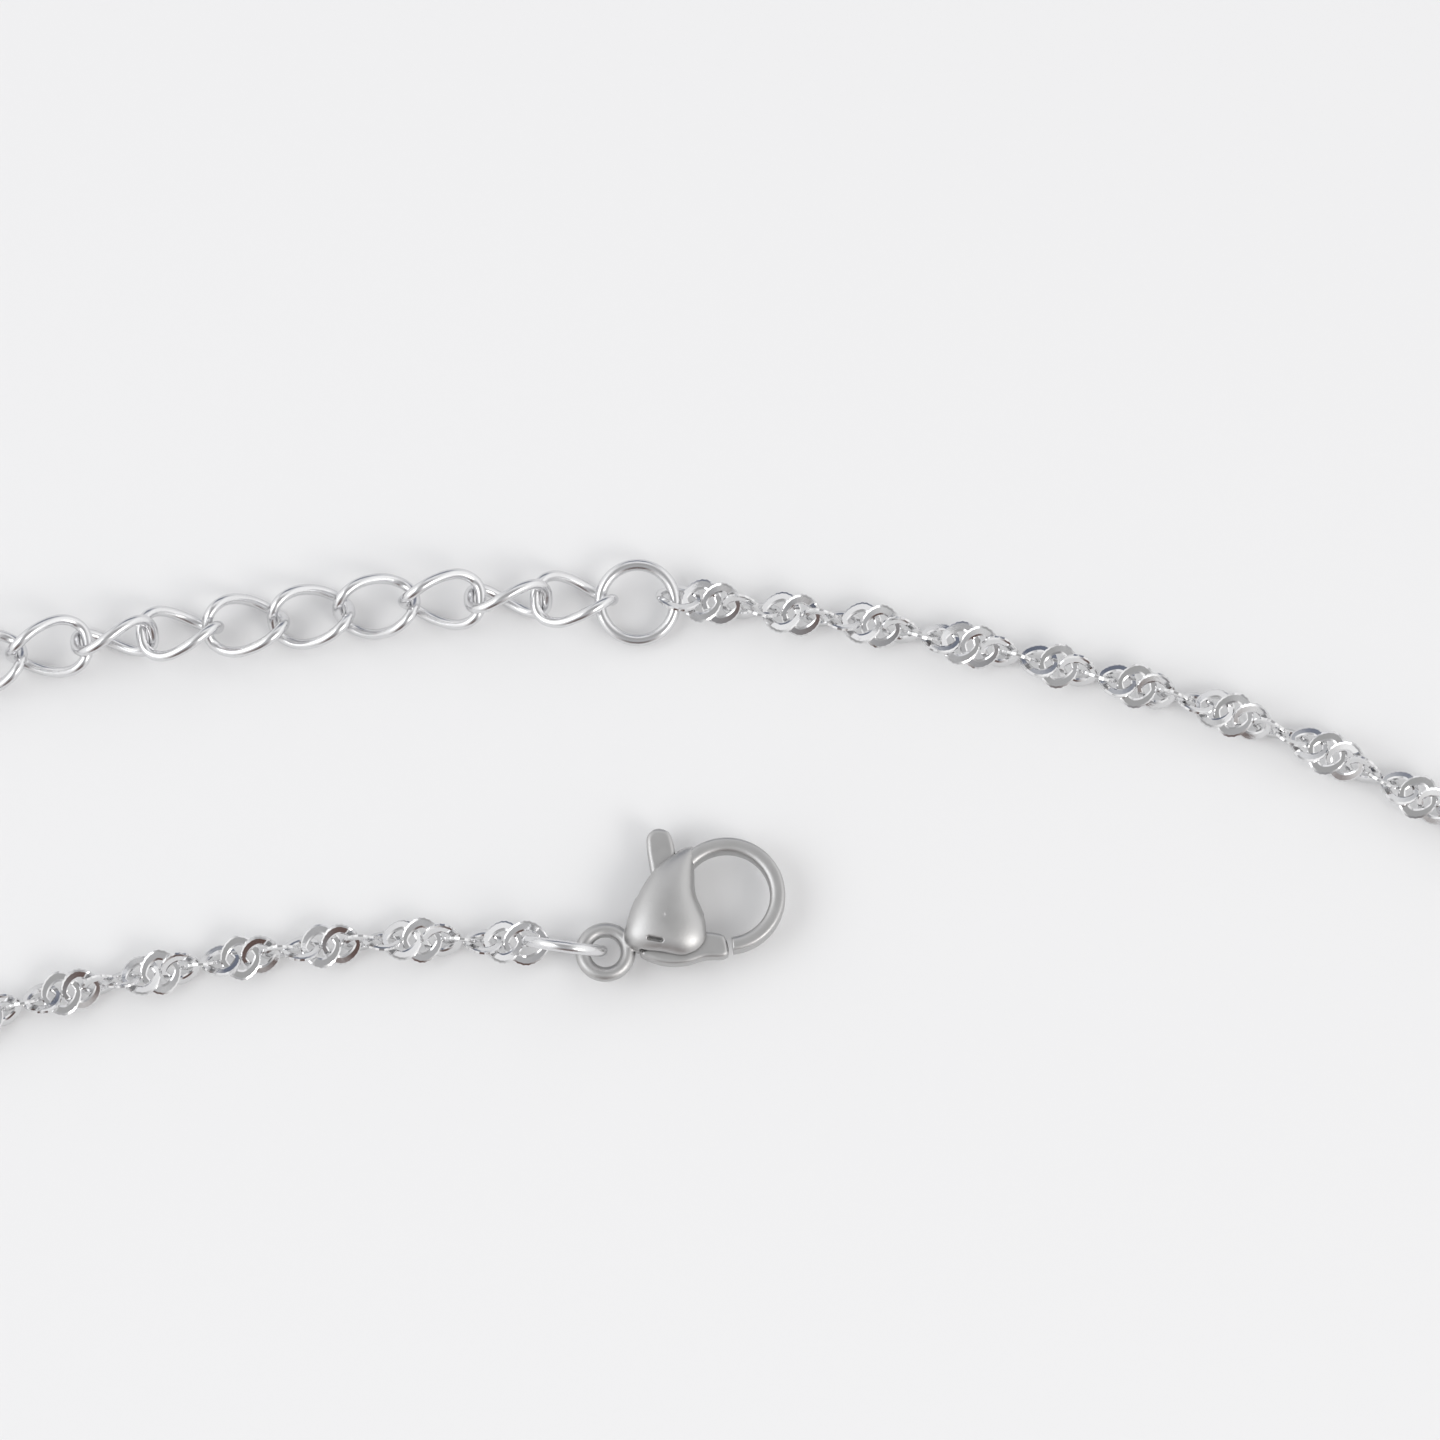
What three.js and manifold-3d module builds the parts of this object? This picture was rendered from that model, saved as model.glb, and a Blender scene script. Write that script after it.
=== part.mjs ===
// A twisted chain necklace, lying open on a table: a fine twisted chain, a jump ring
// at each end, an extender of twisted curb links, and a lobster clasp with its lever.
// Millimetres, +Z up, the table at z = 0.
import * as THREE from "three";
import { mergeVertices } from "three/addons/utils/BufferGeometryUtils.js";
import Module from "manifold-3d";

const wasm = await Module();
wasm.setup();

const TURN = 2 * Math.PI;
const MERGE_DISTANCE = 1e-4;
const TANGENT_STEP = 0.02;
const HEIGHT_SAMPLES = 64;

const STEEL_COLOUR = 0xc9cacc;
const CHAIN_ROUGHNESS = 0.2;
const LINK_ROUGHNESS = 0.15;
const CLASP_ROUGHNESS = 0.3;

// The twisted chain. The solid is the tube that the turning links sweep.
const CHAIN_WIDTH = 2.1;
const CHAIN_SIDES = 8;
const CHAIN_STEPS = 80;
const CHAIN_HEIGHT = CHAIN_WIDTH / 2;
const END_LINK = { length: 2.66, width: 2.1, wire: 0.38, squareness: 2, twist: 60, sides: 6, steps: 12 };
const END_LINK_HOLD = 1.2;

// Where the chain lies, from its extender end round to its clasp end. The stretches
// near both ends follow the photograph, and the rest goes the plain way round.
const CHAIN_ROUTE = [
  { x: -0.7, y: 5.42 },
  { x: 3.5, y: 4.8 },
  { x: 7.1, y: 4.3 },
  { x: 10.9, y: 3.5 },
  { x: 15.1, y: 2.5 },
  { x: 19.3, y: 1.4 },
  { x: 23.0, y: 0.3 },
  { x: 26.3, y: -0.95 },
  { x: 29.3, y: -2.35 },
  { x: 33.5, y: -4.5 },
  { x: 47.5, y: -12.8 },
  { x: 59.5, y: -24 },
  { x: 68.5, y: -38.5 },
  { x: 72.5, y: -55 },
  { x: 70, y: -73 },
  { x: 60.5, y: -89.5 },
  { x: 44, y: -102.5 },
  { x: 23, y: -110 },
  { x: 0, y: -112.5 },
  { x: -23, y: -110 },
  { x: -44, y: -102.5 },
  { x: -60, y: -89.5 },
  { x: -69.5, y: -73.5 },
  { x: -72.5, y: -56 },
  { x: -69, y: -40.5 },
  { x: -60, y: -28 },
  { x: -47.5, y: -19.5 },
  { x: -33.5, y: -14.1 },
  { x: -26.3, y: -12.3 },
  { x: -18.1, y: -10.95 },
  { x: -14, y: -10.7 },
  { x: -10.2, y: -10.8 },
];

// The two jump rings. The lean is the tilt about X of a ring that started out flat.
const RING_DIAMETER = 4;
const RING_WIRE = 0.5;
const RING_SIDES = 6;
const RING_STEPS = 16;
const EXTENDER_RING = { x: -3.84, y: 5.4, z: 0.88, lean: 13, turn: 0 };
const CLASP_RING = { x: -7.35, y: -11.08, lean: 103, turn: -5 };

// The extender's links. A link is a rounded oval that is twisted along its length.
const CURB_LINK = {
  length: 4.14, width: 3.08, wire: 0.5, squareness: 2.5, twist: 95, sides: 6, steps: 16,
};
const CURB_PITCH = 3.06;
const EXTENDER_LINKS = 16;
// How far each link has rolled over. The links past the last row lie as that one does.
const CURB_ROLL = [
  { link: 1, degrees: 146 },
  { link: 2, degrees: 96 },
  { link: 3, degrees: 48 },
  { link: 4, degrees: 14 },
  { link: 5, degrees: 0 },
  { link: 6, degrees: -10 },
  { link: 7, degrees: -38 },
  { link: 8, degrees: -88 },
  { link: 9, degrees: -138 },
  { link: 10, degrees: -170 },
  { link: 11, degrees: -180 },
];
// The line that the extender lies on, from its ring outwards.
const EXTENDER_ROUTE = [
  { x: -5.38, y: 5.45 },
  { x: -10.1, y: 5.42 },
  { x: -13.2, y: 5.45 },
  { x: -16.3, y: 5.1 },
  { x: -19.3, y: 4.7 },
  { x: -25.4, y: 3.85 },
  { x: -31.6, y: 3.05 },
  { x: -37.7, y: 1.6 },
  { x: -43.5, y: -0.5 },
  { x: -49, y: -3.2 },
  { x: -56, y: -7.6 },
];

// The clasp, in its own frame: u runs from the eye along the body, v across it to the
// trigger's side, and the middle of its thickness is at half of BODY_THICKNESS.
const CLASP = { x: -5.3, y: -11.33, turn: 23 };
const BODY_THICKNESS = 2.6;
const BODY_TAIL_TAPER = 0.72;
const BODY_STEPS = 8;
const BODY_ROUNDING = 76;
const BODY_POINTS_PER_ROW = 3;
const BODY_SPINE = { from: { u: 3.1, v: -0.2 }, to: { u: 5.1, v: 2.4 } };
const BODY_OUTLINE = [
  { u: 1.0, v: 0 },
  { u: 1.6, v: 1.07 },
  { u: 2.55, v: 2.0 },
  { u: 3.6, v: 2.7 },
  { u: 4.75, v: 3.05 },
  { u: 5.7, v: 2.95 },
  { u: 5.32, v: 2.0 },
  { u: 4.9, v: 0.85 },
  { u: 4.75, v: -0.6 },
  { u: 4.25, v: -1.5 },
  { u: 3.35, v: -1.76 },
  { u: 2.3, v: -1.15 },
  { u: 1.4, v: -0.6 },
];
const EYE = { ring: 1.08, wire: 0.32, sides: 10, steps: 24 };
const HOOK = {
  u: 6.2, v: 0.25, outer: 2.72, inner: 2.08, thickness: 1.15, edge: 0.15, from: -104, to: 122, steps: 12,
};
const LEVER_THICKNESS = 0.9;
const LEVER_EDGE = 0.08;
const LEVER_POINTS_PER_ROW = 2;
const LEVER_OUTLINE = [
  { u: 2.6, v: 0.3 },
  { u: 3.15, v: 1.7 },
  { u: 3.45, v: 2.9 },
  { u: 3.65, v: 3.7 },
  { u: 3.92, v: 4.28 },
  { u: 4.42, v: 4.42 },
  { u: 4.88, v: 4.08 },
  { u: 4.88, v: 3.4 },
  { u: 4.5, v: 2.2 },
  { u: 4.05, v: 0.3 },
  { u: 4.35, v: -0.75 },
  { u: 4.95, v: -1.15 },
  { u: 5.32, v: -1.45 },
  { u: 5.34, v: -1.9 },
  { u: 5.18, v: -2.36 },
  { u: 4.95, v: -2.42 },
  { u: 4.1, v: -2.12 },
  { u: 3.2, v: -2.02 },
  { u: 2.3, v: -1.65 },
  { u: 1.65, v: -1.1 },
  { u: 1.42, v: -0.75 },
  { u: 1.75, v: -0.6 },
];
const LEVER_TRAVEL = 25;
const LEVER_SWEEP_STEPS = 5;
const SLOT_CLEARANCE = 0.1;
const PIVOT = { u: 3.3, v: -0.1 };
const PIN_RADIUS = 0.3;
const PIN_CLEARANCE = 0.05;
const PIN_LENGTH = 1.8;
const PIN_SIDES = 20;

const radians = THREE.MathUtils.degToRad;

// A signed power: it turns the circle's cosine and sine into a squarer oval's.
function oval(value, squareness) {
  return Math.sign(value) * Math.abs(value) ** (2 / squareness);
}

// The middle of a link's wire, at an angle round the link. The link lies along X, and
// its plane turns about X from one end to the other.
function linkPoint(link, angle, roll = 0) {
  const reach = (link.length - link.wire) / 2;
  const spread = (link.width - link.wire) / 2;
  const x = reach * oval(Math.cos(angle), link.squareness);
  const out = spread * oval(Math.sin(angle), link.squareness);
  const plane = roll - (x / reach) * radians(link.twist / 2);
  return new THREE.Vector3(x, out * Math.cos(plane), out * Math.sin(plane));
}

// A torus whose ring is bent to the link's line.
function linkGeometry(link) {
  const geometry = new THREE.TorusGeometry(1, link.wire / 2, link.sides, link.steps);
  const { position, uv } = geometry.attributes;
  for (let i = 0; i < position.count; i++) {
    const round = uv.getX(i) * TURN;
    const across = uv.getY(i) * TURN;
    const middle = linkPoint(link, round);
    const along = linkPoint(link, round + TANGENT_STEP).sub(linkPoint(link, round - TANGENT_STEP));
    along.normalize();
    const outward = middle.clone().setX(middle.x / 2);
    outward.addScaledVector(along, -outward.dot(along)).normalize();
    const up = outward.clone().cross(along);
    middle.addScaledVector(outward, Math.cos(across) * link.wire / 2);
    middle.addScaledVector(up, Math.sin(across) * link.wire / 2);
    position.setXYZ(i, ...middle);
  }
  return geometry;
}

// How high the middle of a rolled link is when its lowest wire touches the table.
function restHeight(link, roll) {
  let lowest = 0;
  for (let i = 0; i < HEIGHT_SAMPLES; i++) {
    lowest = Math.min(lowest, linkPoint(link, (i / HEIGHT_SAMPLES) * TURN, roll).z);
  }
  return link.wire / 2 - lowest;
}

// A closed three.js geometry as a manifold solid, and back again.
function solidOf(geometry, place = new THREE.Object3D()) {
  place.updateMatrix();
  const bare = geometry.clone().applyMatrix4(place.matrix);
  bare.deleteAttribute("normal");
  bare.deleteAttribute("uv");
  const merged = mergeVertices(bare, MERGE_DISTANCE);
  return new wasm.Manifold(new wasm.Mesh({
    numProp: 3,
    vertProperties: new Float32Array(merged.attributes.position.array),
    triVerts: new Uint32Array(merged.index.array),
  }));
}

function geometryOf(solid) {
  const { vertProperties, triVerts } = solid.getMesh();
  const geometry = new THREE.BufferGeometry();
  geometry.setAttribute("position", new THREE.BufferAttribute(vertProperties, 3));
  geometry.setIndex(new THREE.BufferAttribute(triVerts, 1));
  geometry.computeVertexNormals();
  return geometry;
}

function mesh(name, geometry, roughness) {
  const polished = new THREE.MeshStandardMaterial({ color: STEEL_COLOUR, roughness, metalness: 1 });
  const made = new THREE.Mesh(geometry, polished);
  made.name = name;
  return made;
}

// A smooth closed outline through the rows of a table.
function outlineShape(rows, pointsPerRow) {
  const line = new THREE.CatmullRomCurve3(
    rows.map(({ u, v }) => new THREE.Vector3(u, v, 0)), true,
  );
  const points = line.getPoints(rows.length * pointsPerRow).slice(0, -1);
  return new THREE.Shape(points.map(({ x, y }) => new THREE.Vector2(x, y)));
}

function route(rows, height) {
  return new THREE.CatmullRomCurve3(rows.map(({ x, y }) => new THREE.Vector3(x, y, height)));
}

// The end link of the chain, turned so that its far end stands square to its ring.
function endLink(at, inward, roll) {
  const place = new THREE.Object3D();
  const reach = END_LINK.length / 2 - END_LINK_HOLD / 2;
  place.position.copy(at).addScaledVector(inward, -reach);
  place.rotation.set(roll, 0, Math.atan2(inward.y, inward.x), "ZYX");
  return solidOf(linkGeometry(END_LINK), place);
}

function chain() {
  const line = route(CHAIN_ROUTE, CHAIN_HEIGHT);
  const section = new THREE.Shape();
  const cornerRadius = CHAIN_HEIGHT / Math.cos(Math.PI / CHAIN_SIDES);
  for (let i = 0; i < CHAIN_SIDES; i++) {
    const angle = ((i + 0.5) / CHAIN_SIDES) * TURN;
    section[i ? "lineTo" : "moveTo"](cornerRadius * Math.cos(angle), cornerRadius * Math.sin(angle));
  }
  const tube = solidOf(new THREE.ExtrudeGeometry(section, { steps: CHAIN_STEPS, extrudePath: line }));
  const half = radians(END_LINK.twist / 2);
  const first = endLink(line.getPointAt(0), line.getTangentAt(0), Math.PI / 2 - half);
  const last = endLink(line.getPointAt(1), line.getTangentAt(1).negate(), -half);
  return mesh("twisted_chain", geometryOf(tube.add(first).add(last)), CHAIN_ROUGHNESS);
}

function jumpRing(name, ring, height) {
  const radius = (RING_DIAMETER - RING_WIRE) / 2;
  const geometry = new THREE.TorusGeometry(radius, RING_WIRE / 2, RING_SIDES, RING_STEPS);
  const made = mesh(name, geometry, LINK_ROUGHNESS);
  made.position.set(ring.x, ring.y, height);
  made.rotation.set(radians(ring.lean), 0, radians(ring.turn), "ZYX");
  return made;
}

// Each link spans two joints. A joint is as high as the higher of its links needs, so
// that no link reaches below the table.
function extender() {
  const group = new THREE.Group();
  const line = route(EXTENDER_ROUTE, 0);
  const length = line.getLength();
  const rollOf = (link) => radians(CURB_ROLL[Math.min(link, CURB_ROLL.length) - 1].degrees);
  const jointAt = (i) => {
    const before = restHeight(CURB_LINK, rollOf(Math.max(i, 1)));
    const after = restHeight(CURB_LINK, rollOf(Math.min(i + 1, EXTENDER_LINKS)));
    return line.getPointAt((i * CURB_PITCH) / length).setZ(Math.max(before, after));
  };
  const geometry = linkGeometry(CURB_LINK);
  for (let link = 1; link <= EXTENDER_LINKS; link++) {
    const near = jointAt(link - 1);
    const far = jointAt(link);
    const along = near.clone().sub(far);
    const name = "extender_link_" + String(link).padStart(2, "0");
    const made = mesh(name, geometry, LINK_ROUGHNESS);
    made.position.copy(near).add(far).multiplyScalar(0.5);
    const pitch = -Math.atan2(along.z, Math.hypot(along.x, along.y));
    made.rotation.set(rollOf(link), pitch, Math.atan2(along.y, along.x), "ZYX");
    group.add(made);
  }
  return group;
}

// A plate that is pulled in towards its spine above and below, like a drop, and that
// thins along the spine. Its levels run from -1 to 1.
function domedPlate() {
  const shape = outlineShape(BODY_OUTLINE, BODY_POINTS_PER_ROW);
  const geometry = new THREE.ExtrudeGeometry(shape, { depth: 2, steps: BODY_STEPS, bevelEnabled: false });
  geometry.translate(0, 0, -1);
  const spine = new THREE.Line3(
    new THREE.Vector3(BODY_SPINE.from.u, BODY_SPINE.from.v, 0),
    new THREE.Vector3(BODY_SPINE.to.u, BODY_SPINE.to.v, 0),
  );
  const { position } = geometry.attributes;
  const rim = new THREE.Vector3();
  const middle = new THREE.Vector3();
  const limit = Math.sin(radians(BODY_ROUNDING));
  for (let i = 0; i < position.count; i++) {
    rim.fromBufferAttribute(position, i);
    const angle = rim.z * radians(BODY_ROUNDING);
    const along = spine.closestPointToPointParameter(rim.setZ(0), true);
    rim.lerp(spine.at(along, middle), 1 - Math.cos(angle));
    const taper = THREE.MathUtils.lerp(1, BODY_TAIL_TAPER, along);
    rim.z = (BODY_THICKNESS / 2) * taper * Math.sin(angle) / limit;
    position.setXYZ(i, ...rim);
  }
  return solidOf(geometry);
}

function hook() {
  const band = new THREE.Shape();
  const from = radians(HOOK.from);
  const to = radians(HOOK.to);
  band.absarc(HOOK.u, HOOK.v, HOOK.outer - HOOK.edge, from, to, false);
  band.absarc(HOOK.u, HOOK.v, HOOK.inner + HOOK.edge, to, from, true);
  const place = new THREE.Object3D();
  const depth = HOOK.thickness - 2 * HOOK.edge;
  place.position.z = -depth / 2;
  const geometry = new THREE.ExtrudeGeometry(band, {
    depth, bevelThickness: HOOK.edge, bevelSize: HOOK.edge, bevelSegments: 2, curveSegments: HOOK.steps,
  });
  return solidOf(geometry, place);
}

// The lever's plate, grown by a clearance, and turned about the pivot.
function leverPlate(clearance, turn) {
  const depth = LEVER_THICKNESS - 2 * LEVER_EDGE;
  const edge = LEVER_EDGE + clearance;
  const geometry = new THREE.ExtrudeGeometry(outlineShape(LEVER_OUTLINE, LEVER_POINTS_PER_ROW), {
    depth, bevelThickness: edge, bevelSize: edge, bevelOffset: -LEVER_EDGE, bevelSegments: 1,
  });
  geometry.translate(-PIVOT.u, -PIVOT.v, -depth / 2);
  const place = new THREE.Object3D();
  place.position.set(PIVOT.u, PIVOT.v, 0);
  place.rotation.z = radians(turn);
  return solidOf(geometry, place);
}

function pivotPin(radius, length) {
  const place = new THREE.Object3D();
  place.position.set(PIVOT.u, PIVOT.v, 0);
  place.rotation.x = Math.PI / 2;
  return solidOf(new THREE.CylinderGeometry(radius, radius, length, PIN_SIDES), place);
}

function clasp() {
  const group = new THREE.Group();
  group.position.set(CLASP.x, CLASP.y, BODY_THICKNESS / 2);
  group.rotation.z = radians(CLASP.turn);
  const bore = pivotPin(PIN_RADIUS + PIN_CLEARANCE, PIN_LENGTH + 2 * PIN_CLEARANCE);
  const eye = solidOf(new THREE.TorusGeometry(EYE.ring, EYE.wire, EYE.sides, EYE.steps));
  let body = domedPlate().add(hook());
  for (let i = 0; i <= LEVER_SWEEP_STEPS; i++) {
    body = body.subtract(leverPlate(SLOT_CLEARANCE, (i / LEVER_SWEEP_STEPS) * LEVER_TRAVEL));
  }
  body = body.subtract(bore).add(eye);
  const lever = leverPlate(0, 0).subtract(bore);
  group.add(mesh("clasp_body", geometryOf(body), CLASP_ROUGHNESS));
  group.add(mesh("clasp_lever", geometryOf(lever), CLASP_ROUGHNESS));
  group.add(mesh("clasp_pin", geometryOf(pivotPin(PIN_RADIUS, PIN_LENGTH)), CLASP_ROUGHNESS));
  return group;
}

const claspRingHeight = Math.abs(Math.sin(radians(CLASP_RING.lean)))
  * (RING_DIAMETER - RING_WIRE) / 2 + RING_WIRE / 2;

const necklace = new THREE.Group();
necklace.add(chain());
necklace.add(jumpRing("extender_ring", EXTENDER_RING, EXTENDER_RING.z));
necklace.add(jumpRing("clasp_ring", CLASP_RING, claspRingHeight));
necklace.add(extender());
necklace.add(clasp());

// The part's origin is the middle of its box, on the table.
const middle = new THREE.Box3().setFromObject(necklace, true).getCenter(new THREE.Vector3());
necklace.position.set(-middle.x, -middle.y, 0);

export default necklace;
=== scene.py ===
# The looks of the twisted chain necklace: real chain links, smooth rings and curb links,
# a cast clasp, their metals, a pale floor, soft lights and the camera.
import math

import bpy
import numpy as np
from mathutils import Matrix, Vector


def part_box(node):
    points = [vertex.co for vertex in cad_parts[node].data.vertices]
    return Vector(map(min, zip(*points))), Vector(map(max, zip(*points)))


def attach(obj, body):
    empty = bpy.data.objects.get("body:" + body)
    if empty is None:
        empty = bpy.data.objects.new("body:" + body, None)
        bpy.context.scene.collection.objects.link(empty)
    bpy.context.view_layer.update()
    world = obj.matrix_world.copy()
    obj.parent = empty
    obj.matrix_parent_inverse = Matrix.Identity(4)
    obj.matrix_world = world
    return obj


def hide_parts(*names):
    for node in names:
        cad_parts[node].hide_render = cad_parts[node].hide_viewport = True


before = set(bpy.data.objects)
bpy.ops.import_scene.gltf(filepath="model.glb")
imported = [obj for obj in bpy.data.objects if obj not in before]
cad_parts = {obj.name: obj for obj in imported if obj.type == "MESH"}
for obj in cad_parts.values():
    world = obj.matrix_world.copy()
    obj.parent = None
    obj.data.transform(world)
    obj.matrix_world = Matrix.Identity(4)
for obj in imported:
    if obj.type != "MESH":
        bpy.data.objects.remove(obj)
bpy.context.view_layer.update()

MM = 0.001
TURN = 2 * math.pi
# How many points a stretch between two rows of a route, and of an outline, is given.
ROUTE_STEPS, OUTLINE_STEPS = 60, 8

# Design places are in millimetres, with the middle of the photograph at x = y = 0.
EXTENDER_RING = {"x": -3.84, "y": 5.4, "z": 0.92, "lean": 13, "turn": 0}
CLASP_RING = {"x": -7.17, "y": -11.18, "z": 1.975, "lean": 103, "turn": -8}
RING = {"diameter": 4.04, "wire": 0.54, "steps": 96, "sides": 20}

# The twisted chain: its links, and the line that it lies on.
CHAIN_LINK = {
    "length": 1.87, "width": 2.16, "end": 0.28, "side": 0.5, "thickness": 0.19, "flatness": 3.4,
    "squareness": 1.7, "twist": -12, "notch": 0.12, "sides": 8, "steps": 48,
}
CHAIN_PITCH = 0.94
CHAIN_HEIGHT = 1.05
# How far past the line's ends the first and the last link's middles are.
CHAIN_OVERHANG = 1.1
END_LINK_LENGTH = 2.15
# The first link's roll, and the last one's past lying flat.
CHAIN_FIRST_ROLL = 136
CHAIN_LAST_ROLL = 25
# How much chain half a turn takes where the photograph doesn't show it.
CHAIN_HALF_TURN = 4.25
CHAIN_PIECES = 3
# Edges of a chain link that turn by more than this many degrees stay hard.
CHAIN_HARD_EDGE = 18
# Where the chain is seen edge-on, in x, on its way out from the ring and on its way back.
EDGE_ON_OUT = [1.4, 4.84, 8.84, 13.72, 17.2, 21.1, 25.75, 30.3]
EDGE_ON_BACK = [-28.4, -24.3, -20.3, -16.5, -12.1]
CHAIN_ROUTE = [
    (-0.7, 5.42), (3.5, 4.8), (7.1, 4.3), (10.9, 3.5), (15.1, 2.5), (19.3, 1.4),
    (23.0, 0.3), (26.3, -0.95), (29.3, -2.35), (33.5, -4.5), (47.5, -12.8), (59.5, -24),
    (68.5, -38.5), (72.5, -55), (70, -73), (60.5, -89.5), (44, -102.5), (23, -110),
    (0, -112.5), (-23, -110), (-44, -102.5), (-60, -89.5), (-69.5, -73.5), (-72.5, -56),
    (-69, -40.5), (-60, -28), (-47.5, -19.5), (-33.5, -14.1), (-26.3, -12.3),
    (-18.1, -10.95), (-14, -10.7), (-10.2, -10.8),
]

# The extender's links, how far each has rolled over, and the line that they lie on.
CURB_LINK = {
    "length": 4.14, "width": 3.08, "end": 0.5, "side": 0.5, "thickness": 0.5, "flatness": 2,
    "squareness": 2.5, "twist": 95, "notch": 0, "sides": 16, "steps": 80,
}
CURB_PITCH = 3.07
CURB_ROLLS = [146, 96, 48, 14, 0, -10, -38, -88, -138, -170, -180]
EXTENDER_LINKS = 16
EXTENDER_ROUTE = [
    (-5.25, 5.45), (-10.1, 5.42), (-13.2, 5.45), (-16.3, 5.1), (-19.3, 4.7), (-25.4, 3.85),
    (-31.6, 3.05), (-37.7, 1.6), (-43.5, -0.5), (-49, -3.2), (-56, -7.6),
]

# The clasp in its own frame: u along the body from the eye, v across to the trigger.
CLASP = {"x": -5.3, "y": -11.33, "z": 1.3, "turn": 23}
BODY_THICKNESS = 2.6
BODY_FULLNESS = 3.1
BODY_RINGS = 40
# The grid that the body's skin is blown up on, and how often the skin is evened out.
SKIN_CELL = 0.06
SKIN_ROUNDS = 2500
BODY_SPINE = ((3.1, -0.2), (5.1, 2.4))
BODY_OUTLINE = [
    (1.0, 0), (1.6, 1.07), (2.55, 2.0), (3.6, 2.7), (4.75, 3.05), (5.7, 2.95), (5.32, 2.0),
    (4.9, 0.85), (4.85, -0.6), (4.42, -1.5), (3.4, -1.78), (2.3, -1.15), (1.4, -0.6),
]
EYE = {"ring": 1.05, "wire": 0.35, "steps": 96, "sides": 32}
# The hook's band is squarer on its outer side than on its inner one.
HOOK = {
    "u": 6.2, "v": 0.25, "outer": 2.72, "inner": 2.0, "thickness": 1.15, "from": -106.5, "to": 122,
    "outer_squareness": 4, "inner_squareness": 2.2, "face_squareness": 5, "steps": 120, "sides": 32,
}
LEVER_THICKNESS = 0.9
LEVER_ROUNDING = 0.2
LEVER_OUTLINE = [
    (2.6, 0.3), (3.15, 1.7), (3.45, 2.9), (3.65, 3.7), (3.92, 4.28), (4.42, 4.42),
    (4.88, 4.08), (4.88, 3.4), (4.5, 2.2), (4.05, 0.3), (4.35, -0.75), (4.95, -1.15),
    (5.32, -1.45), (5.34, -1.9), (5.18, -2.36), (4.95, -2.42), (4.1, -2.12), (3.2, -2.02),
    (2.3, -1.65), (1.65, -1.1), (1.42, -0.75), (1.75, -0.6),
]
# How far the lever turns, in degrees, and about which point.
LEVER_TRAVEL = 25
PIVOT = (3.3, -0.1)
# The slot leaves this room round the lever, at as many places of its travel.
SLOT = {"clearance": 0.1, "rounding": 0.05, "places": 7}
# How finely the clasp's skins are melted together, and how often each is smoothed.
COARSE_VOXEL, FINE_VOXEL = 0.05, 0.045
SMOOTHING = {"dome": 12, "casting": 5, "lever": 10}
# Marks in the body's top: where each begins and ends, how wide it is and how deep.
DENTS = [
    {"from": (2.05, -0.36), "to": (2.52, -0.68), "reach": 0.12, "depth": 0.35},
    {"from": (3.08, 0.33), "to": (3.08, 0.36), "reach": 0.09, "depth": 0.03},
]

METALS = {
    "polished_wire": {
        "colour": (0.76, 0.76, 0.77), "roughness": 0.2, "spread": 0.05, "grain": 900,
        "bump": 0.1,
    },
    "polished_chain": {
        "colour": (0.77, 0.77, 0.775), "roughness": 0.1, "spread": 0.05, "grain": 1200,
        "bump": 0.12,
    },
    "satin_clasp": {
        "colour": (0.54, 0.537, 0.535), "roughness": 0.42, "spread": 0.05, "grain": 1500,
        "bump": 0.25,
    },
}
# A metal's dullest tint, how much finer its relief is than its wear, and how deep in metres.
DULLEST = 0.93
RELIEF_FINENESS = 6
RELIEF_DEPTH = 0.00002

FLOOR = {
    "half": 1500.0, "colour": (0.79, 0.79, 0.795), "roughness": 0.7,
    "glow": 0.04, "glow_colour": (1, 1, 1.01),
}

# The square lights: where each stands, in degrees, and its size in metres.
SOFTBOXES = {
    "right": {
        "azimuth": 50, "elevation": 42, "size": 0.2, "watts": 0.5, "colour": (1, 0.98, 0.95),
    },
    "left": {
        "azimuth": -80, "elevation": 45, "size": 0.35, "watts": 0.5, "colour": (0.96, 0.98, 1),
    },
    "back": {
        "azimuth": 180, "elevation": 45, "size": 0.3, "watts": 0.15, "colour": (1, 1, 1),
    },
}
SOFTBOX_DISTANCE = 0.5

# The studio's colours from the horizon upwards: in front, behind, and the grey of both sides.
STUDIO = [
    {"height": 0.0, "front": (0.13, 0.085, 0.075), "back": (0.14, 0.16, 0.22), "side": 0.95},
    {"height": 0.35, "front": (0.17, 0.12, 0.11), "back": (0.23, 0.25, 0.31), "side": 1.1},
    {"height": 0.6, "front": (0.33, 0.33, 0.34), "back": (0.4, 0.4, 0.41), "side": 1.2},
    {"height": 0.78, "front": (0.52, 0.52, 0.53), "back": (0.5, 0.5, 0.51), "side": 1.15},
    {"height": 0.9, "front": (0.52, 0.52, 0.53), "back": (0.5, 0.5, 0.51), "side": 0.9},
    {"height": 0.97, "front": (0.45, 0.45, 0.45), "back": (0.45, 0.45, 0.45), "side": 0.5},
]
# Where, in Y, the front turns into the back, and where, to either side in X, the sides begin.
FRONT_TO_BACK = (-0.3, 0.3)
SIDES_BEGIN = (0.2, 0.6)

# The camera's elevation in degrees, its distance in metres, and what it sees and its sensor in mm.
CAMERA = {"elevation": 77, "distance": 0.7, "frame_width": 67, "sensor": 36}


def design_shift():
    """From the photograph's middle to the row's frame, in millimetres."""
    low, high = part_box("extender_ring")
    middle = (low + high) / 2
    return np.array([middle.x / MM - EXTENDER_RING["x"], middle.y / MM - EXTENDER_RING["y"], 0])


SHIFT = design_shift()


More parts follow.
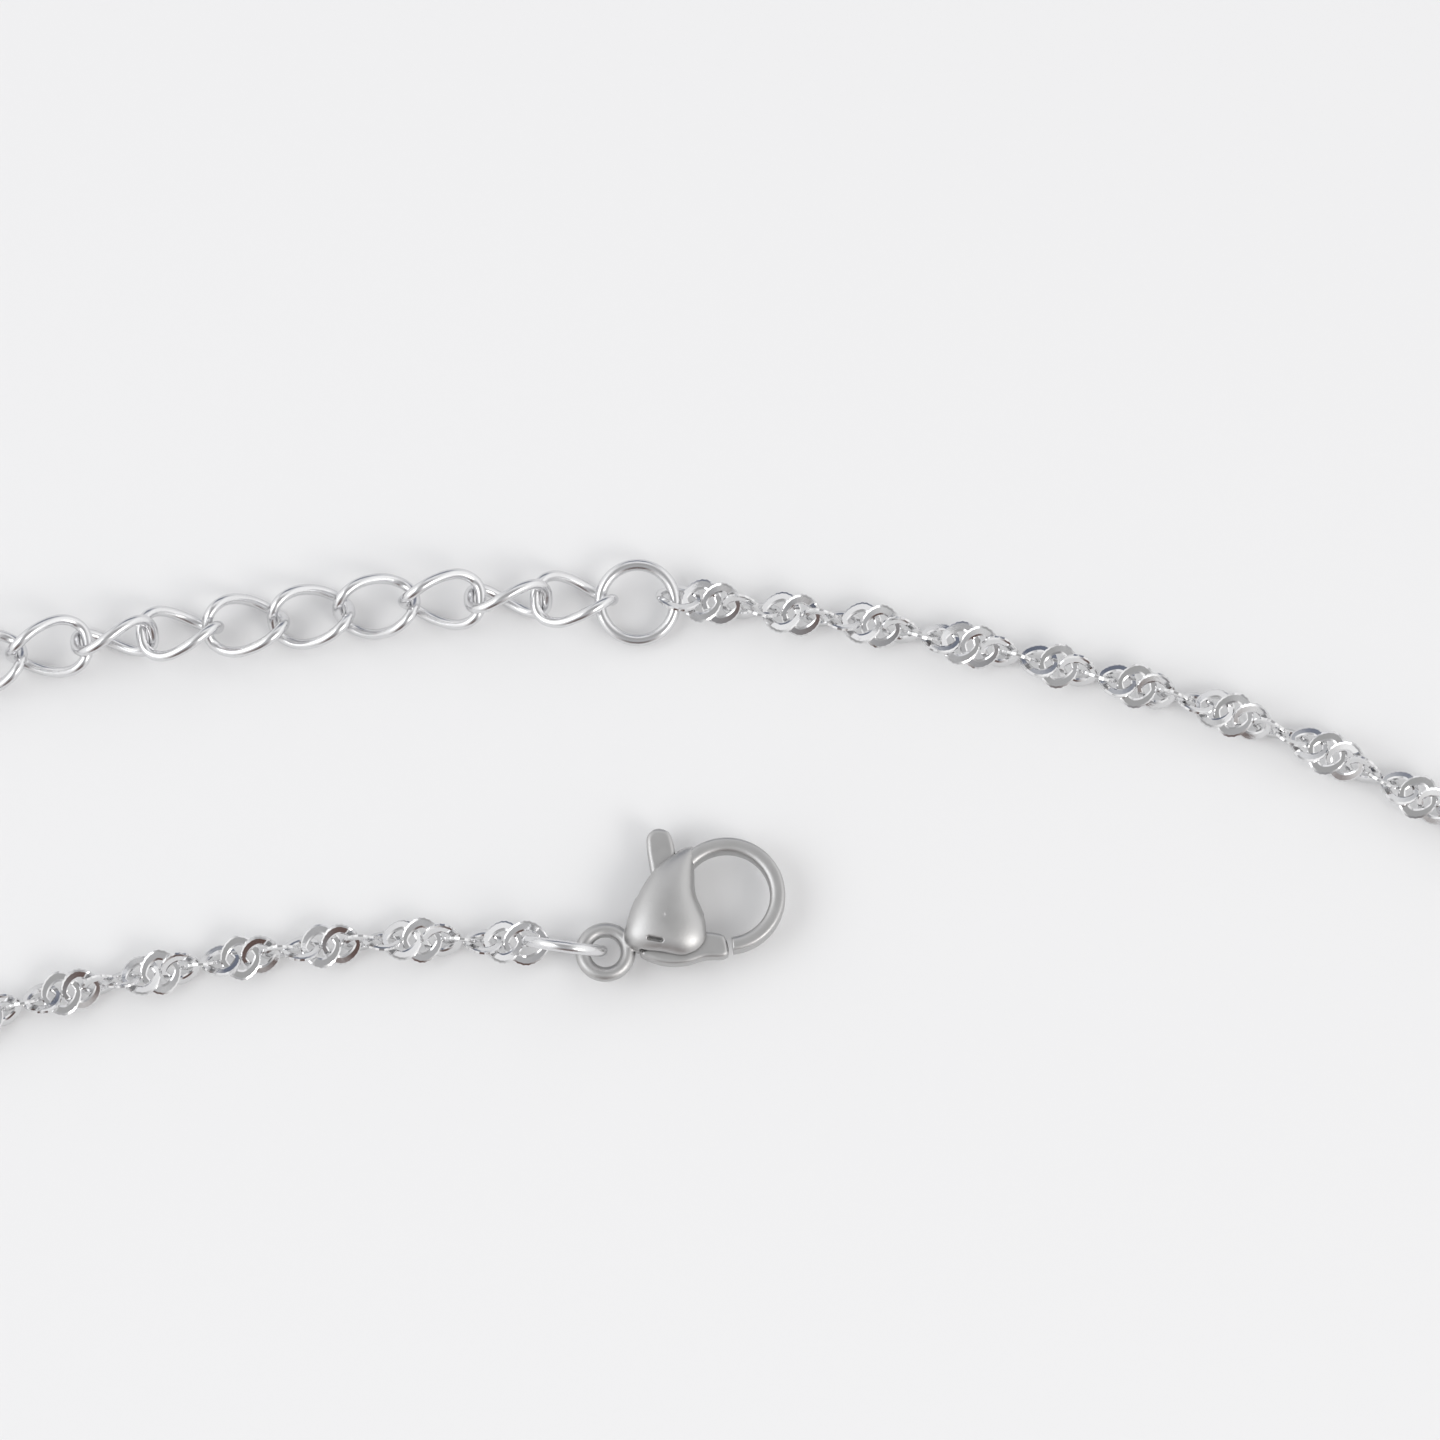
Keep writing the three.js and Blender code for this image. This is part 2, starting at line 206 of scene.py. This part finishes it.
def rotation(roll=0.0, pitch=0.0, yaw=0.0):
    """A turn about X, then about Y, then about Z, in radians."""
    cr, sr = math.cos(roll), math.sin(roll)
    cp, sp = math.cos(pitch), math.sin(pitch)
    cy, sy = math.cos(yaw), math.sin(yaw)
    about_x = np.array([[1, 0, 0], [0, cr, -sr], [0, sr, cr]])
    about_y = np.array([[cp, 0, sp], [0, 1, 0], [-sp, 0, cp]])
    about_z = np.array([[cy, -sy, 0], [sy, cy, 0], [0, 0, 1]])
    return about_z @ about_y @ about_x


def mesh_object(name, points, faces, sharp=None):
    """An object of points in millimetres, in the row's frame unless it is a tool."""
    mesh = bpy.data.meshes.new(name)
    mesh.from_pydata(points.tolist(), [], [tuple(face) for face in faces])
    mesh.update()
    mesh.shade_smooth()
    if sharp is not None:
        mesh.set_sharp_from_angle(angle=math.radians(sharp))
    made = bpy.data.objects.new(name, mesh)
    bpy.context.scene.collection.objects.link(made)
    return made


def points_of(obj):
    """A mesh's points, one to a row."""
    points = np.zeros(len(obj.data.vertices) * 3)
    obj.data.vertices.foreach_get("co", points)
    return points.reshape(-1, 3)


def set_points(obj, points):
    """Moves a mesh's points."""
    obj.data.vertices.foreach_set("co", points.ravel())
    obj.data.update()


def to_metres(obj, turn=None, move=None):
    """Puts a mesh that was made in millimetres in its place in the row's frame."""
    points = points_of(obj)
    if turn is not None:
        points = points @ turn.T
    if move is not None:
        points = points + move
    set_points(obj, points * MM)
    return obj


def finish_piece(obj, node, material, body="necklace", turn=None, move=None):
    """Puts a piece in its place, in the stead of a CAD node."""
    to_metres(obj, turn, SHIFT if move is None else move + SHIFT)
    obj.data.materials.clear()
    obj.data.materials.append(material)
    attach(obj, body)
    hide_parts(node)
    return obj


def smooth_line(rows, per_row, closed=False):
    """A centripetal Catmull-Rom line through the rows, with per_row points a stretch."""
    rows = np.array(rows, float)
    count = len(rows)
    made = []
    for i in range(count if closed else count - 1):
        p1, p2 = rows[i], rows[(i + 1) % count]
        p0 = rows[i - 1] if closed or i else 2 * p1 - p2
        p3 = rows[(i + 2) % count] if closed or i + 2 < count else 2 * p2 - p1
        d0, d1, d2 = (math.sqrt(np.linalg.norm(b - a)) for a, b in ((p0, p1), (p1, p2), (p2, p3)))
        out = ((p1 - p0) / d0 - (p2 - p0) / (d0 + d1) + (p2 - p1) / d1) * d1
        into = ((p2 - p1) / d1 - (p3 - p1) / (d1 + d2) + (p3 - p2) / d2) * d1
        t = (np.arange(per_row) / per_row)[:, None]
        cubic = 2 * p1 - 2 * p2 + out + into
        square = -3 * p1 + 3 * p2 - 2 * out - into
        made.append(p1 + out * t + square * t**2 + cubic * t**3)
    if not closed:
        made.append(rows[-1:])
    return np.vstack(made)


class Line:
    """A line in the plane that can be asked for its point and direction at a length."""

    def __init__(self, rows):
        self.points = smooth_line(rows, ROUTE_STEPS)
        steps = np.linalg.norm(np.diff(self.points, axis=0), axis=1)
        self.marks = np.concatenate([[0], np.cumsum(steps)])
        self.length = self.marks[-1]

    def at(self, along):
        """The point at a length, and the line's direction there. The line runs on past its ends."""
        inside = min(max(along, 0), self.length)
        point = np.array([np.interp(inside, self.marks, self.points[:, i]) for i in (0, 1)])
        i = min(np.searchsorted(self.marks, inside, "right"), len(self.marks) - 1)
        direction = self.points[i] - self.points[i - 1]
        direction = direction / np.linalg.norm(direction)
        return point + direction * (along - inside), direction

    def where(self, x, back):
        """How far along the line its first or last crossing of an x is."""
        after = self.points[:, 0] >= x
        crossings = np.flatnonzero(after[1:] != after[:-1])
        i = crossings[-1 if back else 0]
        low, high = self.points[i, 0], self.points[i + 1, 0]
        return self.marks[i] + (self.marks[i + 1] - self.marks[i]) * (x - low) / (high - low)


def oval(value, squareness):
    """A sine or cosine made into that of a squarer oval, or of a rhombus below 2."""
    return np.sign(value) * np.abs(value) ** (2 / squareness)


def link_line(link, angle, roll=0.0):
    """The middle of a link's wire. Its plane turns about X from one end to the other."""
    reach = (link["length"] - link["end"]) / 2
    spread = (link["width"] - link["side"]) / 2
    x = reach * oval(np.cos(angle), link["squareness"])
    out = spread * oval(np.sin(angle), link["squareness"])
    plane = roll - (x / reach) * math.radians(link["twist"] / 2)
    return np.stack([x, out * np.cos(plane), out * np.sin(plane)], axis=-1)


def ring_faces(steps, sides):
    """The quads of a closed ring of sections."""
    i, j = np.meshgrid(np.arange(steps), np.arange(sides), indexing="ij")
    a = i * sides + j
    b = i * sides + (j + 1) % sides
    c = ((i + 1) % steps) * sides + (j + 1) % sides
    d = ((i + 1) % steps) * sides + j
    return np.stack([a, d, c, b], axis=-1).reshape(-1, 4)


def link_points(link):
    """The skin of one link, lying along X at the origin."""
    round_angle = np.arange(link["steps"]) / link["steps"] * TURN
    middle = link_line(link, round_angle)
    # The wire's direction is taken over a small step of the angle to either side.
    step = 0.02
    along = link_line(link, round_angle + step) - link_line(link, round_angle - step)
    along /= np.linalg.norm(along, axis=1, keepdims=True)
    # Outwards from the link's middle, and less so towards its ends.
    outward = middle * [0.5, 1, 1]
    outward -= along * (outward * along).sum(axis=1, keepdims=True)
    outward /= np.linalg.norm(outward, axis=1, keepdims=True)
    up = np.cross(outward, along)
    across = (np.arange(link["sides"]) + 0.5) / link["sides"] * TURN
    width = link["end"] + (link["side"] - link["end"]) * np.abs(np.sin(round_angle))
    wide = np.outer(width / 2, oval(np.cos(across), link["flatness"]))
    # Every other section is cut back on its outer side.
    wide[::2] *= np.where(np.cos(across) > 0, 1 - link["notch"], 1)
    thick = oval(np.sin(across), link["flatness"]) * link["thickness"] / 2
    across_wire = outward[:, None] * wide[:, :, None] + up[:, None] * thick[None, :, None]
    return (middle[:, None] + across_wire).reshape(-1, 3)


def rest_height(link, roll):
    """How high the middle of a rolled link is when its lowest wire touches the floor."""
    samples = 64
    angle = np.arange(samples) / samples * TURN
    return link["side"] / 2 - link_line(link, angle, roll)[:, 2].min()


def chain_rolls(line, places):
    """How far the chain has rolled at each place: it is edge-on where the photograph shows."""
    out = [line.where(x, False) for x in EDGE_ON_OUT]
    back = [line.where(x, True) for x in EDGE_ON_BACK]
    # Edge-on is a quarter turn past flat, and comes back every half turn.
    marks = [(-CHAIN_OVERHANG, CHAIN_FIRST_ROLL)]
    marks += [(along, 270 + 180 * i) for i, along in enumerate(out)]
    far = marks[-1][1] + 180 * round((back[0] - out[-1]) / CHAIN_HALF_TURN)
    marks += [(along, far + 180 * i) for i, along in enumerate(back)]
    marks.append((line.length + CHAIN_OVERHANG, marks[-1][1] + 90 + CHAIN_LAST_ROLL))
    return np.radians(np.interp(places, *np.transpose(marks)))


def twisted_chain(material):
    """Every link of the chain, joined into a few meshes."""
    line = Line(CHAIN_ROUTE)
    count = round((line.length + 2 * CHAIN_OVERHANG) / CHAIN_PITCH)
    places = np.linspace(-CHAIN_OVERHANG, line.length + CHAIN_OVERHANG, count + 1)
    rolls = chain_rolls(line, places)
    skin = link_points(CHAIN_LINK)
    end_skin = link_points(CHAIN_LINK | {"length": END_LINK_LENGTH})
    reach = (END_LINK_LENGTH - CHAIN_LINK["length"]) / 2
    quads = ring_faces(CHAIN_LINK["steps"], CHAIN_LINK["sides"])
    placed = []
    for i, (along, roll) in enumerate(zip(places, rolls)):
        # The first and the last link are longer, and reach further out.
        end = (i == count) - (i == 0)
        (x, y), (dx, dy) = line.at(along + end * reach)
        turn = rotation(roll=roll, yaw=math.atan2(dy, dx))
        placed.append((end_skin if end else skin) @ turn.T + [x, y, CHAIN_HEIGHT])
    for part, links in enumerate(np.array_split(np.arange(count + 1), CHAIN_PIECES)):
        points = np.vstack([placed[i] for i in links])
        faces = np.vstack([quads + n * len(skin) for n in range(len(links))])
        made = mesh_object(f"chain_links_{part + 1}", points, faces, CHAIN_HARD_EDGE)
        finish_piece(made, "twisted_chain", material)


def torus(name, radius, wire, steps, sides):
    """A round ring of wire that lies flat at the origin, from the two radii."""
    round_angle = (np.arange(steps) / steps * TURN)[:, None]
    across = (np.arange(sides) / sides * TURN)[None, :]
    out = radius + wire * np.cos(across)
    up = wire * np.sin(across) + 0 * round_angle
    points = np.stack([out * np.cos(round_angle), out * np.sin(round_angle), up], axis=-1)
    return mesh_object(name, points.reshape(-1, 3), ring_faces(steps, sides)[:, ::-1])


def jump_ring(node, place, material):
    """A plain round ring of wire, leant over and turned."""
    radius, wire = (RING["diameter"] - RING["wire"]) / 2, RING["wire"] / 2
    made = torus(node + "_wire", radius, wire, RING["steps"], RING["sides"])
    turn = rotation(roll=math.radians(place["lean"]), yaw=math.radians(place["turn"]))
    where = np.array([place["x"], place["y"], place["z"]])
    finish_piece(made, node, material, turn=turn, move=where)


def extender(material):
    """The curb links. Each spans two joints, which are as high as their links need."""
    line = Line(EXTENDER_ROUTE)
    rolls = [math.radians(CURB_ROLLS[min(i, len(CURB_ROLLS) - 1)]) for i in range(EXTENDER_LINKS)]
    heights = [rest_height(CURB_LINK, roll) for roll in rolls]
    joints = []
    for i in range(EXTENDER_LINKS + 1):
        height = max(heights[max(i - 1, 0)], heights[min(i, EXTENDER_LINKS - 1)])
        joints.append(np.array([*line.at(i * CURB_PITCH)[0], height]))
    skin = link_points(CURB_LINK)
    quads = ring_faces(CURB_LINK["steps"], CURB_LINK["sides"])
    for i, roll in enumerate(rolls):
        near, far = joints[i], joints[i + 1]
        dx, dy, dz = near - far
        turn = rotation(roll, -math.atan2(dz, math.hypot(dx, dy)), math.atan2(dy, dx))
        made = mesh_object(f"curb_link_{i + 1:02d}", skin, quads)
        node = f"extender_link_{i + 1:02d}"
        finish_piece(made, node, material, turn=turn, move=(near + far) / 2)


def lofted(name, rings):
    """A closed solid through rings of points, with flat ends."""
    count = len(rings[0])
    faces = []
    for i in range(len(rings) - 1):
        for j in range(count):
            k = (j + 1) % count
            faces.append((i * count + j, i * count + k, (i + 1) * count + k, (i + 1) * count + j))
    faces.append(tuple(range(count))[::-1])
    faces.append(tuple(range((len(rings) - 1) * count, len(rings) * count)))
    return mesh_object(name, np.vstack(rings), faces)


def inside(points, outline):
    """Which points are within a closed outline."""
    found = np.zeros(points.shape[:-1], bool)
    x, y = points[..., 0], points[..., 1]
    for (x1, y1), (x2, y2) in zip(outline, np.roll(outline, -1, axis=0)):
        if y1 != y2:
            crossing = x1 + (y - y1) * (x2 - x1) / (y2 - y1)
            found ^= ((y1 > y) != (y2 > y)) & (x < crossing)
    return found


def swell(outline, step, rounds):
    """How much a skin blown up within an outline rises at each place of a grid."""
    low = outline.min(axis=0) - 2 * step
    counts = np.ceil((outline.max(axis=0) + 2 * step - low) / step).astype(int) + 1
    grid = np.stack(np.meshgrid(*[np.arange(count) for count in counts], indexing="ij"), axis=-1)
    within = inside(low + grid * step, outline)
    rise = np.zeros(counts)
    for _ in range(rounds):
        around = sum(np.roll(rise, way, axis) for way in (-1, 1) for axis in (0, 1))
        rise = np.where(within, (around + 1) / 4, 0)
    return low, rise / rise.max()


def dome():
    """The drop-shaped body, blown up from its outline like a drop of water."""
    outline = smooth_line(BODY_OUTLINE, OUTLINE_STEPS, closed=True)[::-1]
    start, end = (np.array(p) for p in BODY_SPINE)
    axis = end - start
    share = np.clip(((outline - start) @ axis) / (axis @ axis), 0, 1)
    spine = start + share[:, None] * axis
    low, rise = swell(outline, SKIN_CELL, SKIN_ROUNDS)
    tops = []
    # The outline shrinks towards the spine, and its last ring stays just clear of it.
    for angle in np.linspace(0, math.radians(89), BODY_RINGS):
        flat = spine + (outline - spine) * math.cos(angle)
        cell = (flat - low) / SKIN_CELL
        i, j = np.floor(cell).astype(int).T
        s, t = (cell - np.floor(cell)).T
        height = (
            rise[i, j] * (1 - s) * (1 - t) + rise[i + 1, j] * s * (1 - t)
            + rise[i, j + 1] * (1 - s) * t + rise[i + 1, j + 1] * s * t
        )
        height = BODY_THICKNESS / 2 * height ** (1 / BODY_FULLNESS) * (angle > 0)
        tops.append(np.column_stack([flat, height]))
    bottoms = [ring * [1, 1, -1] for ring in tops[:0:-1]]
    return lofted("dome", [ring[::-1] for ring in bottoms + tops])


def hook():
    """The hook: a band with round edges, swept round an arc."""
    across = np.arange(HOOK["sides"]) / HOOK["sides"] * TURN
    middle = (HOOK["outer"] + HOOK["inner"]) / 2
    wide = (HOOK["outer"] - HOOK["inner"]) / 2
    outside = np.cos(across) > 0
    squareness = np.where(outside, HOOK["outer_squareness"], HOOK["inner_squareness"])
    out = middle + wide * oval(np.cos(across), squareness)
    height = HOOK["thickness"] / 2 * oval(np.sin(across), HOOK["face_squareness"])
    rings = []
    for angle in np.radians(np.linspace(HOOK["from"], HOOK["to"], HOOK["steps"])):
        u = HOOK["u"] + out * math.cos(angle)
        v = HOOK["v"] + out * math.sin(angle)
        rings.append(np.column_stack([u, v, height]))
    return lofted("hook", [ring[::-1] for ring in rings])


def plate(name, outline, thickness, rounding, grow=0.0):
    """A flat plate whose edges are rounded, grown by a clearance."""
    line = smooth_line(outline, OUTLINE_STEPS, closed=True)
    ahead = np.roll(line, -1, axis=0) - np.roll(line, 1, axis=0)
    ahead /= np.linalg.norm(ahead, axis=1, keepdims=True)
    area = (line[:, 0] * np.roll(line[:, 1], -1) - line[:, 1] * np.roll(line[:, 0], -1)).sum()
    outward = np.column_stack([ahead[:, 1], -ahead[:, 0]]) * np.sign(area)
    half = thickness / 2 + grow
    arc = np.linspace(0, 90, 7)
    rings = []
    for side, angles in ((-1, arc[::-1]), (1, arc)):
        for angle in angles:
            inset = rounding * (1 - math.cos(math.radians(angle)))
            height = side * (half - rounding + rounding * math.sin(math.radians(angle)))
            edge = line + outward * (grow - inset)
            rings.append(np.column_stack([edge, np.full(len(line), height)]))
    if area < 0:
        rings = [ring[::-1] for ring in rings]
    return lofted(name, rings)


def eye():
    """The closed ring at the casting's end, which the jump ring passes through."""
    return torus("eye", EYE["ring"], EYE["wire"], EYE["steps"], EYE["sides"])


def bake(obj):
    """Applies an object's modifiers."""
    graph = bpy.context.evaluated_depsgraph_get()
    mesh = bpy.data.meshes.new_from_object(obj.evaluated_get(graph))
    obj.modifiers.clear()
    obj.data = mesh
    return obj


def cut_away(obj, tool):
    """Takes one closed skin out of another."""
    modifier = obj.modifiers.new("cut", "BOOLEAN")
    modifier.operation = "DIFFERENCE"
    modifier.solver = "MANIFOLD"
    modifier.object = tool
    bake(obj)
    bpy.data.objects.remove(tool)


def remesh(obj, voxel, smoothing=0):
    """Melts an object's overlapping solids into one skin, as a casting has."""
    modifier = obj.modifiers.new("melt", "REMESH")
    modifier.mode = "VOXEL"
    modifier.voxel_size = voxel
    modifier.use_smooth_shade = True
    if smoothing:
        soften = obj.modifiers.new("soften", "SMOOTH")
        soften.factor = 0.5
        soften.iterations = smoothing
    bake(obj)


def join(target, *others):
    """Makes several objects into one, without melting them together."""
    chosen = [target, *others]
    with bpy.context.temp_override(active_object=target, selected_editable_objects=chosen):
        bpy.ops.object.join()
    return target


def turned(obj, degrees):
    """Turns a mesh about the clasp's pivot."""
    pivot = np.array([*PIVOT, 0])
    turn = rotation(yaw=math.radians(degrees))
    set_points(obj, (points_of(obj) - pivot) @ turn.T + pivot)
    return obj


def dent(obj, mark):
    """Presses a mark into the top of a mesh."""
    points = points_of(obj)
    start, end = np.array(mark["from"]), np.array(mark["to"])
    axis = end - start
    share = np.clip(((points[:, :2] - start) @ axis) / (axis @ axis), 0, 1)
    away = np.linalg.norm(points[:, :2] - start - share[:, None] * axis, axis=1) / mark["reach"]
    pressed = (away < 1) & (points[:, 2] > BODY_THICKNESS / 4)
    points[pressed, 2] -= mark["depth"] * (1 - away[pressed] ** 2) ** 2
    set_points(obj, points)


def slot():
    """The room that the lever sweeps on its way from closed to open."""
    blades = []
    for at in np.linspace(0, LEVER_TRAVEL, SLOT["places"]):
        blade = plate("slot", LEVER_OUTLINE, LEVER_THICKNESS, SLOT["rounding"], SLOT["clearance"])
        blades.append(turned(blade, at))
    swept = join(*blades)
    remesh(swept, COARSE_VOXEL)
    return swept


def clasp(material):
    """The cast body with its slot, and the lever."""
    place = np.array([CLASP["x"], CLASP["y"], CLASP["z"]])
    turn = rotation(yaw=math.radians(CLASP["turn"]))
    body = dome()
    body.name = body.data.name = "clasp_casting"
    remesh(body, COARSE_VOXEL, SMOOTHING["dome"])
    cut_away(body, slot())
    join(body, eye())
    remesh(body, FINE_VOXEL, SMOOTHING["casting"])
    for mark in DENTS:
        dent(body, mark)
    join(body, hook())
    finish_piece(body, "clasp_body", material, turn=turn, move=place)
    lever = plate("clasp_trigger", LEVER_OUTLINE, LEVER_THICKNESS, LEVER_ROUNDING)
    remesh(lever, FINE_VOXEL, SMOOTHING["lever"])
    finish_piece(lever, "clasp_lever", material, "lever", turn=turn, move=place)
    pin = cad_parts["clasp_pin"]
    pin.data.materials.clear()
    pin.data.materials.append(material)


def metal(name, colour, roughness, spread, grain, bump):
    """A metal whose gloss and colour vary a little, with fine wear in its surface."""
    material = bpy.data.materials.new(name)
    material.use_nodes = True
    tree = material.node_tree
    shader = tree.nodes["Principled BSDF"]
    shader.inputs["Metallic"].default_value = 1.0
    place = tree.nodes.new("ShaderNodeTexCoord")
    wear = tree.nodes.new("ShaderNodeTexNoise")
    wear.inputs["Scale"].default_value = grain
    wear.inputs["Detail"].default_value = 4
    tree.links.new(place.outputs["Object"], wear.inputs["Vector"])
    gloss = tree.nodes.new("ShaderNodeMapRange")
    gloss.inputs["To Min"].default_value = max(roughness - spread, 0.02)
    gloss.inputs["To Max"].default_value = roughness + spread
    tree.links.new(wear.outputs["Fac"], gloss.inputs["Value"])
    tree.links.new(gloss.outputs["Result"], shader.inputs["Roughness"])
    tint = tree.nodes.new("ShaderNodeMix")
    tint.data_type = "RGBA"
    tint.inputs["A"].default_value = (*[c * DULLEST for c in colour], 1)
    tint.inputs["B"].default_value = (*colour, 1)
    tree.links.new(wear.outputs["Fac"], tint.inputs["Factor"])
    tree.links.new(tint.outputs["Result"], shader.inputs["Base Color"])
    fine = tree.nodes.new("ShaderNodeTexNoise")
    fine.inputs["Scale"].default_value = grain * RELIEF_FINENESS
    tree.links.new(place.outputs["Object"], fine.inputs["Vector"])
    relief = tree.nodes.new("ShaderNodeBump")
    relief.inputs["Strength"].default_value = bump
    relief.inputs["Distance"].default_value = RELIEF_DEPTH
    tree.links.new(fine.outputs["Fac"], relief.inputs["Height"])
    tree.links.new(relief.outputs["Normal"], shader.inputs["Normal"])
    return material


def floor():
    """A plain pale surface to lie on."""
    half = FLOOR["half"]
    points = np.array([(-half, -half, 0), (half, -half, 0), (half, half, 0), (-half, half, 0)])
    made = to_metres(mesh_object("floor", points, [(0, 1, 2, 3)]))
    material = bpy.data.materials.new("floor")
    material.use_nodes = True
    shader = material.node_tree.nodes["Principled BSDF"]
    shader.inputs["Base Color"].default_value = (*FLOOR["colour"], 1)
    shader.inputs["Roughness"].default_value = FLOOR["roughness"]
    shader.inputs["Emission Color"].default_value = (*FLOOR["glow_colour"], 1)
    shader.inputs["Emission Strength"].default_value = FLOOR["glow"]
    made.data.materials.append(material)


def softbox(name, azimuth, elevation, size, watts, colour):
    """A square light that looks at the photograph's middle."""
    a, e = math.radians(azimuth), math.radians(elevation)
    back = Vector((math.sin(a) * math.cos(e), -math.cos(a) * math.cos(e), math.sin(e)))
    data = bpy.data.lights.new(name, "AREA")
    data.size = size
    data.energy = watts
    data.color = colour
    light = bpy.data.objects.new(name, data)
    light.location = Vector(SHIFT * MM) + back * SOFTBOX_DISTANCE
    light.rotation_euler = back.to_track_quat("Z", "Y").to_euler()
    light.visible_camera = False
    bpy.context.scene.collection.objects.link(light)


def blend(tree, factor, first, second):
    """Mixes two colours as far as a factor says."""
    mix = tree.nodes.new("ShaderNodeMix")
    mix.data_type = "RGBA"
    tree.links.new(factor, mix.inputs["Factor"])
    tree.links.new(first, mix.inputs["A"])
    tree.links.new(second, mix.inputs["B"])
    return mix.outputs["Result"]


def stretch(tree, value, low, high):
    """Makes a value run from 0 at low to 1 at high."""
    node = tree.nodes.new("ShaderNodeMapRange")
    node.inputs["From Min"].default_value = low
    node.inputs["From Max"].default_value = high
    tree.links.new(value, node.inputs["Value"])
    return node.outputs["Result"]


def lights():
    """Soft lights, and a pale studio that is dim low down in front and behind."""
    for name, row in SOFTBOXES.items():
        softbox(name, **row)
    world = bpy.data.worlds.new("studio")
    bpy.context.scene.world = world
    world.use_nodes = True
    tree = world.node_tree
    place = tree.nodes.new("ShaderNodeTexCoord")
    split = tree.nodes.new("ShaderNodeSeparateXYZ")
    tree.links.new(place.outputs["Generated"], split.inputs["Vector"])
    colours = {}
    for side in ("front", "back", "side"):
        ramp = tree.nodes.new("ShaderNodeValToRGB")
        while len(ramp.color_ramp.elements) < len(STUDIO):
            ramp.color_ramp.elements.new(0.5)
        for element, row in zip(ramp.color_ramp.elements, STUDIO):
            element.position = row["height"]
            element.color = (*np.broadcast_to(row[side], 3), 1)
        tree.links.new(split.outputs["Z"], ramp.inputs["Fac"])
        colours[side] = ramp.outputs["Color"]
    sideways = tree.nodes.new("ShaderNodeMath")
    sideways.operation = "ABSOLUTE"
    tree.links.new(split.outputs["X"], sideways.inputs[0])
    backness = stretch(tree, split.outputs["Y"], *FRONT_TO_BACK)
    along = blend(tree, backness, colours["front"], colours["back"])
    across = stretch(tree, sideways.outputs["Value"], *SIDES_BEGIN)
    colour = blend(tree, across, along, colours["side"])
    tree.links.new(colour, tree.nodes["Background"].inputs["Color"])


def camera():
    """A long lens, from the front and high up, on the photograph's middle."""
    e = math.radians(CAMERA["elevation"])
    back = Vector((0, -math.cos(e), math.sin(e)))
    data = bpy.data.cameras.new("camera")
    data.sensor_width = CAMERA["sensor"]
    data.lens = CAMERA["sensor"] * CAMERA["distance"] / (CAMERA["frame_width"] * MM)
    data.clip_start, data.clip_end = 0.01, 20
    made = bpy.data.objects.new("camera", data)
    made.location = Vector(SHIFT * MM) + back * CAMERA["distance"]
    made.rotation_euler = back.to_track_quat("Z", "Y").to_euler()
    bpy.context.scene.collection.objects.link(made)
    bpy.context.scene.camera = made


camera()
floor()
lights()
bright = metal("polished_wire", **METALS["polished_wire"])
cut = metal("polished_chain", **METALS["polished_chain"])
satin = metal("satin_clasp", **METALS["satin_clasp"])
twisted_chain(cut)
jump_ring("extender_ring", EXTENDER_RING, bright)
jump_ring("clasp_ring", CLASP_RING, bright)
extender(bright)
clasp(satin)
bpy.context.scene.view_settings.view_transform = "Standard"
